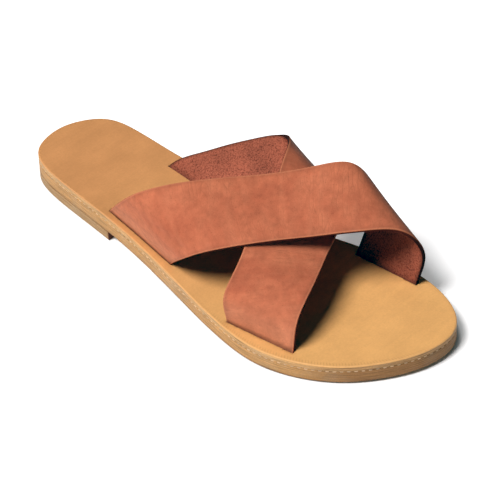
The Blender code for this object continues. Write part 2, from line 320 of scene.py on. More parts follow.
def cubic(knots, values, query):
    """Cubic spline with free ends through the rows of values, read at each query."""
    knots = np.asarray(knots, dtype=float)
    values = np.asarray(values, dtype=float).reshape(len(knots), -1)
    query = np.asarray(query, dtype=float)
    size = len(knots)
    gap = np.diff(knots)
    rise = np.diff(values, axis=0) / gap[:, None]
    inner = np.arange(1, size - 1)
    system = np.eye(size)
    system[inner, inner - 1] = gap[:-1]
    system[inner, inner] = 2.0 * (gap[:-1] + gap[1:])
    system[inner, inner + 1] = gap[1:]
    load = np.zeros_like(values)
    load[1:-1] = 6.0 * np.diff(rise, axis=0)
    bend = np.linalg.solve(system, load)
    cell = np.clip(np.searchsorted(knots, query) - 1, 0, size - 2)
    step = (query - knots[cell])[:, None]
    width = gap[cell][:, None]
    slope = rise[cell] - width * (2.0 * bend[cell] + bend[cell + 1]) / 6.0
    twist = (bend[cell + 1] - bend[cell]) / (6.0 * width)
    return values[cell] + step * (slope + step * (0.5 * bend[cell] + step * twist))


def plan_angle(station):
    """Angle around the plan for a station: the arc cosine of one minus twice its share of the length."""
    return np.arccos(np.clip(1.0 - 2.0 * np.asarray(station) / SOLE_LENGTH, -1.0, 1.0))


def sole_edge(angle):
    """X of the sole's edge at an angle around the plan, lateral side first: a closed cubic spline."""
    plan = dict(zip(SOLE_PLAN_COLUMNS, np.array(SOLE_PLAN).T))
    around = plan_angle(plan["station"])
    turn = 2.0 * math.pi
    knots = np.concatenate([[0.0], around, [math.pi], turn - around[::-1]])
    edge = np.concatenate([[HEEL_END_X], plan["lateral"], [TOE_END_X], plan["medial"][::-1]])
    knots = np.concatenate([knots - turn, knots, knots + turn])
    return cubic(knots, np.tile(edge, 3), np.ravel(angle))[:, 0].reshape(np.shape(angle))


def sole_rise(station):
    """Height of the outsole's underside: heel rise, smooth arch (3t2 - 2t3), flat ball, toe parabola."""
    station = np.asarray(station, dtype=float)
    arch = grow(station, HEEL_BREAST_STATION, ARCH_END_STATION - HEEL_BREAST_STATION)
    toe = grow(station, TOE_SPRING_STATION, SOLE_LENGTH - TOE_SPRING_STATION)
    return HEEL_RISE * (1.0 - arch * arch * (3.0 - 2.0 * arch)) + TOE_SPRING * toe * toe


def insole_top(station):
    """Height of the insole's upper face: the underside's, plus both layers and the gap between them."""
    return sole_rise(station) + OUTSOLE_THICKNESS + LAYER_GAP + INSOLE_THICKNESS


# The sole's axis in the frame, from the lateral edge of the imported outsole
SOLE_AXIS_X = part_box("outsole")[1].x / MM - sole_edge(np.linspace(0.0, math.pi, AXIS_SAMPLES)).max()


def to_metres(points):
    """Points of x, station and height in millimetres as metres in the frame."""
    return (np.asarray(points, dtype=float) + np.array([SOLE_AXIS_X, -0.5 * SOLE_LENGTH, 0.0])) * MM


def unit(vectors):
    """Vectors divided by their lengths."""
    return vectors / np.maximum(np.linalg.norm(vectors, axis=-1, keepdims=True), 1e-12)


def make_piece(name, points, quads, slots, uv, materials, attributes=None):
    """Mesh object from arrays: points (metres), quads, a slot per quad, a UV per corner, values per point."""
    mesh = bpy.data.meshes.new(name)
    count = len(quads)
    mesh.vertices.add(len(points))
    mesh.vertices.foreach_set("co", np.ascontiguousarray(points, dtype=np.float32).ravel())
    mesh.loops.add(4 * count)
    mesh.loops.foreach_set("vertex_index", np.ascontiguousarray(quads, dtype=np.int32).ravel())
    mesh.polygons.add(count)
    mesh.polygons.foreach_set("loop_start", np.arange(0, 4 * count, 4, dtype=np.int32))
    mesh.polygons.foreach_set("material_index", np.ascontiguousarray(slots, dtype=np.int32))
    mesh.update(calc_edges=True)
    sheet = mesh.uv_layers.new(name="UVMap")
    sheet.data.foreach_set("uv", np.ascontiguousarray(uv, dtype=np.float32).ravel())
    for label, values in (attributes or {}).items():
        layer = mesh.attributes.new(label, "FLOAT", "POINT")
        layer.data.foreach_set("value", np.ascontiguousarray(values, dtype=np.float32))
    mesh.shade_smooth()
    mesh.set_sharp_from_angle(angle=SHARP_ANGLE)
    for material in materials:
        mesh.materials.append(material)
    if mesh.validate():
        raise RuntimeError(name + " has faces that aren't sound")
    piece = bpy.data.objects.new(name, mesh)
    bpy.context.scene.collection.objects.link(piece)
    return piece


def strap_edge(folds, first_slit, last_slit, rows):
    """Points along one edge of a strap: a spline over chord length, from the foot of one leg to the other.

    Inside the insole each leg keeps the lean of its first free fold, up to the greatest lean.
    """
    def leg(slit, fold):
        """Foot and mouth of a leg: the foot lies below the mouth by the depth, and aside by the lean."""
        mouth = np.array([slit[0], slit[1], insole_top(slit[1])])
        way = np.asarray(fold) - mouth
        lean = way[:2] / max(way[2], 1.0)
        lean = lean * min(1.0, LEG_MAX_LEAN / max(np.hypot(lean[0], lean[1]), 1e-6))
        depth = INSOLE_THICKNESS + LAYER_GAP - LEG_END_CLEARANCE
        return [mouth - depth * np.array([lean[0], lean[1], 1.0]), mouth]

    points = np.array([*leg(first_slit, folds[0]), *folds, *leg(last_slit, folds[-1])[::-1]])
    knots = path_length(points)
    path = cubic(knots, points, np.linspace(0.0, knots[-1], 4 * rows))
    run = path_length(path)
    even = np.linspace(0.0, run[-1], rows)
    return np.column_stack([np.interp(even, run, path[:, axis]) for axis in range(3)])


def strap_edges(table, lateral_slit, medial_slit, rows):
    """Rear and front edge of a strap."""
    rear = strap_edge([row[0:3] for row in table], lateral_slit[0], medial_slit[0], rows)
    front = strap_edge([row[3:6] for row in table], lateral_slit[1], medial_slit[1], rows)
    return rear, front


def crease_depth(creases, along, across, length):
    """Sum of soft troughs: depth times a bell curve of the distance from each crease's slanted line."""
    depth = np.zeros(np.broadcast(along, across).shape)
    inside = np.sqrt(np.sin(math.pi * np.clip(across, 0.0, 1.0)))
    fade = CREASE_EDGE_SHARE + (1.0 - CREASE_EDGE_SHARE) * inside
    for place, slant, half, deep in creases:
        off = (along - place) * length - slant * (across - 0.5)
        depth += deep * fade * bell(off, half)
    return depth


def curl_height(curls, along, across, length):
    """Sum of lifted stretches of front edge: height times a bell curve along, times a parabola across."""
    height = np.zeros(np.broadcast(along, across).shape)
    rise = np.clip(2.0 * across - 1.0, 0.0, 1.0) ** 2
    for place, half, high in curls:
        height += high * rise * bell((along - place) * length, half)
    return height


def strap_shell(edges, outward, inward, edge_round, columns, creases=(), curls=(), lean=0.0, widen=0.0):
    """Closed shell of a strap: a rounded thin section carried along its two edges.

    A point is the ruled outer face at a share across, plus the face's normal times the section's lift.
    The section is the outer face, a rounded cut edge, the inner face and the other cut edge. The creases
    sink it as a whole, and the curls lift it towards the front edge. Returns points, quads, a slot per
    quad (outer 0, cut edge 1, inner 2), a UV per corner (run and reach across, in metres; the lean shifts
    the run) and four values per point: the distance from the nearest long edge and the height above the
    insole in millimetres, the share of the thickness from the outer face, and how far the face looks to
    the medial side.
    """
    rear, front = edges
    rows = len(rear)
    side = unit(front - rear)
    rear = rear - side * widen
    front = front + side * widen
    width = np.linalg.norm(front - rear, axis=1)
    length = 0.5 * sum(path_length(line)[-1] for line in edges)
    turn = np.linspace(0.0, 0.5 * math.pi, ARC_STEPS)
    inset_arc = edge_round * (1.0 - np.sin(turn[1:]))
    drop_arc = edge_round * (1.0 - np.cos(turn[1:]))
    face = np.linspace(0.0, 1.0, columns)
    inset = edge_round / width[:, None]
    share_face = inset + (1.0 - 2.0 * inset) * face
    share_arc = inset_arc / width[:, None]
    share = np.concatenate([
        share_face, 1.0 - share_arc, (1.0 - share_arc)[:, ::-1],
        share_face[:, ::-1], share_arc, share_arc[:, ::-1],
    ], axis=1)
    flat = np.zeros(columns)
    lift = np.concatenate([
        flat + outward, outward - drop_arc, drop_arc[::-1] - inward,
        flat - inward, drop_arc - inward, (outward - drop_arc)[::-1],
    ])
    blend = share[..., None]
    middle = rear[:, None] * (1.0 - blend) + front[:, None] * blend
    ahead = np.gradient(rear, axis=0)[:, None] * (1.0 - blend) + np.gradient(front, axis=0)[:, None] * blend
    normal = unit(np.cross(side[:, None], ahead))
    along = np.linspace(0.0, 1.0, rows)[:, None]
    free = grow(np.minimum(along, 1.0 - along) * length, CREASE_START, CREASE_RUN)
    sink = crease_depth(creases, along, share, length) * free - curl_height(curls, along, share, length)
    points = middle + normal * (lift - sink)[..., None]
    around = points.shape[1]
    index = np.arange(rows * around).reshape(rows, around)
    following = np.roll(index, -1, axis=1)
    quads = np.stack([index[:-1], following[:-1], following[1:], index[1:]], axis=-1).reshape(-1, 4)
    rim = 2 * len(inset_arc) + 1
    ring_slots = np.repeat([0, 1, 2, 1], [columns - 1, rim, columns - 1, rim])
    slots = np.tile(ring_slots, rows - 1)
    reach = share * width[:, None]
    sheet = np.stack([along * length + lean * reach, reach + lift], axis=-1) * MM
    faces = [quads]
    fore = np.arange(-len(inset_arc), columns + len(inset_arc)) % around
    back = (2 * columns + 3 * len(inset_arc) - 1 - np.arange(len(fore))) % around
    for row, flip in ((0, False), (rows - 1, True)):
        ring = index[row]
        cap = np.stack([ring[fore[:-1]], ring[back[:-1]], ring[back[1:]], ring[fore[1:]]], axis=-1)
        faces.append(cap[:, ::-1] if flip else cap)
    slots = np.concatenate([slots, np.full(2 * (len(fore) - 1), 1)])
    quads = np.concatenate(faces)
    gap = np.minimum(share, 1.0 - share) * width[:, None]
    depth = np.broadcast_to((outward - lift) / (outward + inward), share.shape)
    above = points[..., 2] - insole_top(points[..., 1])
    # This share sets the painted shade outside the medial folds
    fold = grow(-normal[..., 0], FOLD_SHADE_START, FOLD_SHADE_RUN)
    values = {"edge_gap": gap.ravel(), "depth": depth.ravel(), "above": above.ravel(), "fold": fold.ravel()}
    return to_metres(points.reshape(-1, 3)), quads, slots, sheet.reshape(-1, 2)[quads], values


def square_grid(columns, rows):
    """Shares from -1 to 1 of a square grid, the index of its points and its border in order."""
    u, v = np.meshgrid(np.linspace(-1.0, 1.0, columns + 1), np.linspace(-1.0, 1.0, rows + 1))
    index = np.arange(u.size).reshape(u.shape)
    border = np.concatenate([index[0, :-1], index[:-1, -1], index[-1, :0:-1], index[:0:-1, 0]])
    return u.ravel(), v.ravel(), index, border


def between_edges(across, along, station):
    """X and station of a share of a disc, stretched to the sole's two edges at the station."""
    share = 0.5 + 0.5 * np.clip(across / np.sqrt(np.maximum(1.0 - along * along, 1e-12)), -1.0, 1.0)
    angle = plan_angle(station)
    medial, lateral = sole_edge(2.0 * math.pi - angle), sole_edge(angle)
    return np.column_stack([medial + (lateral - medial) * share, station])


def sole_plan(u, v):
    """Plan of the whole sole: a square made a disc, then stretched to the two edges.

    Each side of the square shrinks by the root of one minus half the other side's square.
    """
    across = u * np.sqrt(1.0 - 0.5 * v * v)
    along = v * np.sqrt(1.0 - 0.5 * u * u)
    return between_edges(across, along, 0.5 * SOLE_LENGTH * (1.0 + along))


def heel_plan(u, v):
    """Plan of the heel lift: half a square made half a disc, with its straight side at the breast."""
    low = 0.5 * (v - 1.0)
    across = u * np.sqrt(1.0 - 0.5 * low * low)
    along = low * np.sqrt(1.0 - 0.5 * u * u)
    return between_edges(across, along, HEEL_BREAST_STATION * (1.0 + along))


def rim_profile(thickness, apron, shoulder, foot):
    """Rim of a layer as rows of inset, height and slot of the span below the row.

    A flat apron on top, a quarter-round shoulder, an upright side and a quarter-round foot.
    """
    turn = np.linspace(0.0, 0.5 * math.pi, ARC_STEPS)
    sine, cosine = 1.0 - np.sin(turn), 1.0 - np.cos(turn)
    flat = np.linspace(apron, shoulder, APRON_STEPS + 1)[:-1]
    side = np.linspace(thickness - shoulder, foot, SIDE_STEPS + 2)[1:-1]
    inset = np.concatenate([flat, shoulder * sine, np.zeros(SIDE_STEPS), foot * cosine])
    height = np.concatenate([
        np.full(APRON_STEPS, thickness), thickness - shoulder * cosine, side, foot * sine])
    slot = np.where(np.arange(len(inset)) < APRON_STEPS + ARC_STEPS - 1, 0, 1)
    return inset, height, slot


def slab(plan, centre, half, underside, rim, columns, rows):
    """Closed layer of the sole: two grids laid in the plan, joined by rings that follow the rim's profile.

    A ring is the plan's border drawn in towards the centre by its inset, at its height above the
    underside. Returns points (mm), quads, slots (top 0, rim 1, underside 2), a UV per corner in metres
    (the plan on the faces; run and reach down the profile on the rim) and each point's distance from
    the plan's edge in millimetres.
    """
    inset, height, span_slot = rim
    u, v, index, border = square_grid(columns, rows)
    flat = plan(u, v)
    edge = flat[border]
    count = len(border)

    def ring(points, row):
        """Points of the plan drawn in by a row's inset, at its height above the underside."""
        drawn = centre + (points - centre) * (1.0 - inset[row] / np.asarray(half))
        return np.column_stack([drawn, underside(drawn[:, 1]) + height[row]])

    inner = np.arange(1, len(inset) - 1)
    points = np.concatenate([ring(flat, 0), *[ring(edge, row) for row in inner], ring(flat, -1)])
    cells = np.stack([index[:-1, :-1], index[:-1, 1:], index[1:, 1:], index[1:, :-1]], axis=-1).reshape(-1, 4)
    base = u.size + count * len(inner)
    spans = [u.size + count * (row - 1) + np.arange(count) for row in inner]
    loops = np.stack([border, *spans, base + border])
    run = path_length(np.vstack([edge, edge[:1]]))
    reach = path_length(np.column_stack([inset, height]))
    following = np.roll(loops, -1, axis=1)
    rings = np.stack([loops[:-1], loops[1:], following[1:], following[:-1]], axis=-1)
    ring_uv = np.stack(np.broadcast_arrays(
        np.stack([run[:-1], run[:-1], run[1:], run[1:]], axis=-1)[None],
        np.stack([reach[:-1], reach[1:], reach[1:], reach[:-1]], axis=-1)[:, None],
    ), axis=-1)
    quads = np.concatenate([cells, base + cells[:, ::-1], rings.reshape(-1, 4)])
    uv = np.concatenate([flat[cells], flat[cells[:, ::-1]], ring_uv.reshape(-1, 4, 2)]) * MM
    slots = np.concatenate([
        np.full(len(cells), 0), np.full(len(cells), 2), np.repeat(span_slot[:-1], count)])
    nearest = np.min(np.linalg.norm(flat[:, None] - edge[None], axis=2), axis=1)
    gap = np.concatenate([nearest + inset[0], np.repeat(inset[inner], count), nearest + inset[-1]])
    return points, quads, slots, uv, gap


def stitches(pitch, length, radius):
    """Thread that shows in the seam: one short tapered bead for each stitch, along the sole's edge.

    A bead is a ring of points carried along the edge. Its radius follows the root of one minus the
    square of the share along it, and it bows out of the seam by the same share.
    """
    angle = np.linspace(0.0, 2.0 * math.pi, EDGE_SAMPLES)
    line = np.column_stack([sole_edge(angle), 0.5 * SOLE_LENGTH * (1.0 - np.cos(angle))])
    run = path_length(line)
    count = int(round(run[-1] / pitch))
    share = np.linspace(-1.0, 1.0, STITCH_RINGS)
    turn = np.arange(STITCH_SIDES) * 2.0 * math.pi / STITCH_SIDES
    spot = (np.arange(count) + 0.5)[:, None] * run[-1] / count + 0.5 * length * share
    station = np.interp(spot, run, line[:, 1], period=run[-1])
    x = np.interp(spot, run, line[:, 0], period=run[-1])
    middle = np.stack([x, station, sole_rise(station) + OUTSOLE_THICKNESS + 0.5 * LAYER_GAP], axis=-1)
    up = np.array([0.0, 0.0, 1.0])
    out = unit(np.cross(np.gradient(middle, axis=1), up))
    bow = np.sqrt(1.0 - share ** 2)
    thick = radius * np.clip(STITCH_TAPER * bow, STITCH_TIP, 1.0)
    centre = middle + out * (STITCH_BOW * bow - STITCH_SEAT)[:, None]
    spoke = out[:, :, None] * np.cos(turn)[:, None] + up * np.sin(turn)[:, None]
    points = centre[:, :, None] + spoke * thick[:, None, None]
    index = np.arange(points[..., 0].size).reshape(points.shape[:3])
    following = np.roll(index, -1, axis=2)
    body = np.stack([index[:, :-1], following[:, :-1], following[:, 1:], index[:, 1:]], axis=-1)
    first = np.concatenate([index[:, 0, [3, 2, 1, 0]], index[:, 0, [0, 5, 4, 3]]])
    last = np.concatenate([index[:, -1, [0, 1, 2, 3]], index[:, -1, [3, 4, 5, 0]]])
    quads = np.concatenate([body.reshape(-1, 4), first, last])
    sheet = np.stack(np.broadcast_arrays(spot[:, :, None], turn * radius), axis=-1).reshape(-1, 2) * MM
    return to_metres(points.reshape(-1, 3)), quads, np.zeros(len(quads)), sheet[quads]


def slit_distance(points):
    """Distance in plan from each point to the nearest spot on a straight slit."""
    nearest = np.inf
    for start, end in SLITS:
        start, way = np.array(start), np.array(end) - np.array(start)
        share = np.clip((points[:, :2] - start) @ way / (way @ way), 0.0, 1.0)
        off = points[:, :2] - start - share[:, None] * way
        nearest = np.minimum(nearest, np.hypot(off[:, 0], off[:, 1]))
    return nearest


def slit_cutters(thickness, clearance, material):
    """Tools that cut the slits: each leg's end, thicker and wider by the clearance, run past its foot."""
    cutters = []
    for name, table, lateral, medial in STRAPS:
        edges = strap_edges(table, lateral, medial, SLIT_CUT_ROWS)
        first, last = [], []
        for line in edges:
            first.append(np.vstack([line[0] + SLIT_RUN_OUT * (line[0] - line[1]), line[:SLIT_CUT_END]]))
            last.append(np.vstack([line[-SLIT_CUT_END:], line[-1] + SLIT_RUN_OUT * (line[-1] - line[-2])]))
        for end, lines in (("lateral", first), ("medial", last)):
            shell = strap_shell(
                lines, clearance, thickness + clearance, clearance, SLIT_CUT_CELLS, widen=clearance)
            cutters.append(make_piece(name + "_" + end + "_cut", *shell[:4], [material]))
    return cutters


def cut(piece, cutters):
    """Cut pieces out of a piece, and remove the cutters."""
    for cutter in cutters:
        step = piece.modifiers.new("Slit", "BOOLEAN")
        step.operation = "DIFFERENCE"
        step.solver = "EXACT"
        step.object = cutter
    bpy.context.view_layer.update()
    graph = bpy.context.evaluated_depsgraph_get()
    whole = bpy.data.meshes.new_from_object(
        piece.evaluated_get(graph), preserve_all_data_layers=True, depsgraph=graph)
    piece.modifiers.clear()
    piece.data = whole
    for cutter in cutters:
        bpy.data.objects.remove(cutter)


def add(tree, kind, inputs=None, **settings):
    """Add a shader node, give it its settings, and set or link its inputs."""
    node = tree.nodes.new("ShaderNode" + kind)
    for name, value in settings.items():
        setattr(node, name, value)
    for socket, value in (inputs or {}).items():
        if isinstance(value, bpy.types.NodeSocket):
            tree.links.new(value, node.inputs[socket])
        else:
            node.inputs[socket].default_value = value
    return node


def new_material(name, **inputs):
    """Node material with its shader and the values that are the same all over."""
    material = bpy.data.materials.new(name)
    material.use_nodes = True
    shader = material.node_tree.nodes["Principled BSDF"]
    for socket, value in inputs.items():
        shader.inputs[socket.replace("_", " ")].default_value = value
    return material, material.node_tree, shader


def rgba(colour):
    """Colour with full alpha."""
    return (*colour, 1.0)


def per_mm(size):
    """Texture scale of a pattern whose cells have a size in millimetres."""
    return 1.0 / (size * MM)


def nubuck(colours):
    """Oiled nubuck: the grain side of cowhide sanded to a short nap.

    To the eye it is matt and warm, softly clouded where the oil pulled up, faintly streaked across the
    strap, with a fine nap, small pores and a paler line along the cut corner, partly wear and partly a
    painted highlight. It is darker near the edges. Painted light makes it paler low on the legs, and
    painted shade darkens their feet and the outside of the medial folds.
    """
    material, tree, shader = new_material(
        "strap_nubuck", Roughness=0.8, IOR=LEATHER_IOR, Specular_IOR_Level=0.15)
    place = add(tree, "TexCoord").outputs["Object"]
    sheet = add(tree, "UVMap", uv_map="UVMap").outputs["UV"]
    clouds = add(tree, "TexNoise", {
        "Vector": place, "Scale": per_mm(24.0), "Detail": 4.0, "Roughness": 0.6, "Distortion": 0.5})
    patches = add(tree, "TexNoise", {
        "Vector": place, "Scale": per_mm(5.0), "Detail": 6.0, "Roughness": 0.68})
    pulled = add(tree, "Mapping", {"Vector": sheet, "Scale": (per_mm(7.0), per_mm(45.0), 1.0)})
    streaks = add(tree, "TexNoise", {
        "Vector": pulled.outputs["Vector"], "Scale": 1.0, "Detail": 5.0, "Roughness": 0.6})
    nap = add(tree, "TexNoise", {
        "Vector": place, "Scale": per_mm(0.6), "Detail": 3.0, "Roughness": 0.7})
    pores = add(tree, "TexVoronoi", {"Vector": place, "Scale": per_mm(1.5), "Randomness": 1.0})
    soft = add(tree, "MapRange", {
        "Value": clouds.outputs["Fac"], "From Min": 0.32, "From Max": 0.68},
        interpolation_type="SMOOTHSTEP")
    base = add(tree, "Mix", {
        "Factor": soft.outputs["Result"], "A": rgba(colours.strap_dark), "B": rgba(colours.strap)},
        data_type="RGBA")
    lights = add(tree, "MapRange", {
        "Value": streaks.outputs["Fac"], "From Min": 0.45, "From Max": 0.75, "To Max": 0.32})
    warm = add(tree, "Mix", {
        "Factor": lights.outputs["Result"], "A": base.outputs[2], "B": rgba(colours.strap_light)},
        data_type="RGBA")
    above = add(tree, "Attribute", attribute_name="above").outputs["Fac"]
    # Painted light: the nap is paler low on the legs
    painted_leg_light = add(tree, "MapRange", {
        "Value": above, "From Min": 1.0, "From Max": 24.0, "To Min": 0.5, "To Max": 0.0},
        interpolation_type="SMOOTHSTEP")
    warm = add(tree, "Mix", {
        "Factor": painted_leg_light.outputs["Result"], "A": warm.outputs[2], "B": rgba(colours.strap_wear_and_painted_light)},
        data_type="RGBA")
    mottle = add(tree, "MapRange", {
        "Value": patches.outputs["Fac"], "From Min": 0.3, "From Max": 0.7, "To Min": 0.83, "To Max": 1.13})
    speck = add(tree, "MapRange", {
        "Value": nap.outputs["Fac"], "From Min": 0.25, "From Max": 0.75, "To Min": 0.93, "To Max": 1.06})
    pit = add(tree, "MapRange", {
        "Value": pores.outputs["Distance"], "From Min": 0.08, "From Max": 0.22,
        "To Min": 0.82, "To Max": 1.0})
    tone = add(tree, "Math", {
        0: mottle.outputs["Result"], 1: speck.outputs["Result"]}, operation="MULTIPLY")
    tone = add(tree, "Math", {0: tone.outputs["Value"], 1: pit.outputs["Result"]}, operation="MULTIPLY")
    bent_across = add(tree, "Mapping", {"Vector": sheet, "Scale": (per_mm(2.6), per_mm(11.0), 1.0)})
    cells = add(tree, "TexVoronoi", {
        "Vector": bent_across.outputs["Vector"], "Scale": 1.0, "Randomness": 1.0}, feature="DISTANCE_TO_EDGE")
    line = add(tree, "MapRange", {
        "Value": cells.outputs["Distance"], "From Min": 0.0, "From Max": 0.12,
        "To Min": 1.0, "To Max": 0.0})
    somewhere = add(tree, "MapRange", {
        "Value": clouds.outputs["Fac"], "From Min": 0.42, "From Max": 0.62},
        interpolation_type="SMOOTHSTEP")
    wrinkle = add(tree, "Math", {
        0: line.outputs["Result"], 1: somewhere.outputs["Result"]}, operation="MULTIPLY")
    crack = add(tree, "MapRange", {"Value": wrinkle.outputs["Value"], "To Min": 1.0, "To Max": 0.91})
    tone = add(tree, "Math", {0: tone.outputs["Value"], 1: crack.outputs["Result"]}, operation="MULTIPLY")
    hide = add(tree, "VectorMath", {0: warm.outputs[2], 1: tone.outputs["Value"]}, operation="MULTIPLY")
    gap = add(tree, "Attribute", attribute_name="edge_gap").outputs["Fac"]
    edge_darkening = add(tree, "MapRange", {
        "Value": gap, "From Min": 0.6, "From Max": 3.2, "To Min": 0.86, "To Max": 1.0},
        interpolation_type="SMOOTHSTEP")
    # Painted shade at the foot of each leg, near the insole
    foot = add(tree, "MapRange", {
        "Value": above, "From Min": 0.3, "From Max": 3.2, "To Min": 0.55, "To Max": 1.0},
        interpolation_type="SMOOTHSTEP")
    # Painted shade outside the medial folds
    turned = add(tree, "Attribute", attribute_name="fold").outputs["Fac"]
    painted_shade_and_rub = add(tree, "MapRange", {"Value": turned, "To Min": 1.0, "To Max": 0.55})
    edge_tone_and_painted_shade = add(tree, "Math", {0: edge_darkening.outputs["Result"], 1: foot.outputs["Result"]}, operation="MULTIPLY")
    edge_tone_and_painted_shade = add(tree, "Math", {0: edge_tone_and_painted_shade.outputs["Value"], 1: painted_shade_and_rub.outputs["Result"]}, operation="MULTIPLY")
    rim = add(tree, "VectorMath", {
        0: hide.outputs["Vector"], 1: edge_tone_and_painted_shade.outputs["Value"]}, operation="MULTIPLY")
    # Painted highlight with wear along the cut corner
    worn = add(tree, "MapRange", {
        "Value": gap, "From Min": 0.55, "From Max": 1.1, "To Min": 0.22, "To Max": 0.0})
    done = add(tree, "Mix", {
        "Factor": worn.outputs["Result"], "A": rim.outputs["Vector"], "B": rgba(colours.strap_wear_and_painted_light)},
        data_type="RGBA")
    tree.links.new(done.outputs[2], shader.inputs["Base Color"])
    low = add(tree, "Bump", {
        "Strength": 0.3, "Distance": 0.35 * MM, "Height": patches.outputs["Fac"]})
    high = add(tree, "Bump", {
        "Strength": 0.35, "Distance": 0.1 * MM, "Height": nap.outputs["Fac"],
        "Normal": low.outputs["Normal"]})
    dots = add(tree, "Bump", {
        "Strength": 0.4, "Distance": 0.08 * MM, "Height": pit.outputs["Result"],
        "Normal": high.outputs["Normal"]})
    folds = add(tree, "Bump", {
        "Strength": 0.5, "Distance": 0.15 * MM, "Height": wrinkle.outputs["Value"],
        "Normal": dots.outputs["Normal"]},
        invert=True)
    tree.links.new(folds.outputs["Normal"], shader.inputs["Normal"])
    return material


def flesh_side(colours):
    """Flesh side of the same hide: loose fibre bundles, so it is dull, speckled and rough to the eye."""
    material, tree, shader = new_material(
        "strap_flesh_side", Roughness=0.95, IOR=LEATHER_IOR, Specular_IOR_Level=0.1)
    place = add(tree, "TexCoord").outputs["Object"]
    fibres = add(tree, "TexNoise", {
        "Vector": place, "Scale": per_mm(0.8), "Detail": 4.0, "Roughness": 0.75})
    clouds = add(tree, "TexNoise", {"Vector": place, "Scale": per_mm(14.0), "Detail": 4.0})
    pits = add(tree, "MapRange", {
        "Value": fibres.outputs["Fac"], "From Min": 0.34, "From Max": 0.55})
    base = add(tree, "Mix", {
        "Factor": pits.outputs["Result"], "A": rgba(colours.flesh_dark), "B": rgba(colours.flesh)},
        data_type="RGBA")
    tone = add(tree, "MapRange", {
        "Value": clouds.outputs["Fac"], "From Min": 0.3, "From Max": 0.7, "To Min": 0.82, "To Max": 1.14})
    gap = add(tree, "Attribute", attribute_name="edge_gap").outputs["Fac"]
    rim = add(tree, "MapRange", {
        "Value": gap, "From Min": 0.5, "From Max": 2.5, "To Min": 0.6, "To Max": 1.0},
        interpolation_type="SMOOTHSTEP")
    both = add(tree, "Math", {
        0: tone.outputs["Result"], 1: rim.outputs["Result"]}, operation="MULTIPLY")
    above = add(tree, "Attribute", attribute_name="above").outputs["Fac"]
    # Painted shade at the foot of each leg, near the insole
    foot = add(tree, "MapRange", {
        "Value": above, "From Min": 0.3, "From Max": 2.5, "To Min": 0.7, "To Max": 1.0},
        interpolation_type="SMOOTHSTEP")
    both = add(tree, "Math", {0: both.outputs["Value"], 1: foot.outputs["Result"]}, operation="MULTIPLY")
    done = add(tree, "VectorMath", {0: base.outputs[2], 1: both.outputs["Value"]}, operation="MULTIPLY")
    tree.links.new(done.outputs["Vector"], shader.inputs["Base Color"])
    bump = add(tree, "Bump", {
        "Strength": 0.9, "Distance": 0.35 * MM, "Height": fibres.outputs["Fac"]})
    tree.links.new(bump.outputs["Normal"], shader.inputs["Normal"])
    return material


def cut_edge(colours):
    """Cut edge of the strap: a worn pale corner on the nap side and darker raw fibre below it.

    Painted shade makes it darkest on the medial folds.
    """
    material, tree, shader = new_material(
        "strap_cut_edge", Roughness=0.88, IOR=LEATHER_IOR, Specular_IOR_Level=0.05)
    place = add(tree, "TexCoord").outputs["Object"]
    fibres = add(tree, "TexNoise", {
        "Vector": place, "Scale": per_mm(0.8), "Detail": 4.0, "Roughness": 0.7})
    depth = add(tree, "Attribute", attribute_name="depth").outputs["Fac"]
    core = add(tree, "MapRange", {
        "Value": depth, "From Min": 0.08, "From Max": 0.28}, interpolation_type="SMOOTHSTEP")
    base = add(tree, "Mix", {
        "Factor": core.outputs["Result"], "A": rgba(colours.cut_edge), "B": rgba(colours.cut_core)},
        data_type="RGBA")
    tone = add(tree, "MapRange", {
        "Value": fibres.outputs["Fac"], "From Min": 0.3, "From Max": 0.7, "To Min": 0.75, "To Max": 1.15})
    # Painted shade outside the medial folds
    turned = add(tree, "Attribute", attribute_name="fold").outputs["Fac"]
    outside = add(tree, "MapRange", {"Value": turned, "To Min": 1.0, "To Max": 0.45})
    shade = add(tree, "Math", {0: tone.outputs["Result"], 1: outside.outputs["Result"]}, operation="MULTIPLY")
    done = add(tree, "VectorMath", {0: base.outputs[2], 1: shade.outputs["Value"]}, operation="MULTIPLY")
    tree.links.new(done.outputs["Vector"], shader.inputs["Base Color"])
    bump = add(tree, "Bump", {
        "Strength": 0.5, "Distance": 0.15 * MM, "Height": fibres.outputs["Fac"]})
    tree.links.new(bump.outputs["Normal"], shader.inputs["Normal"])
    return material


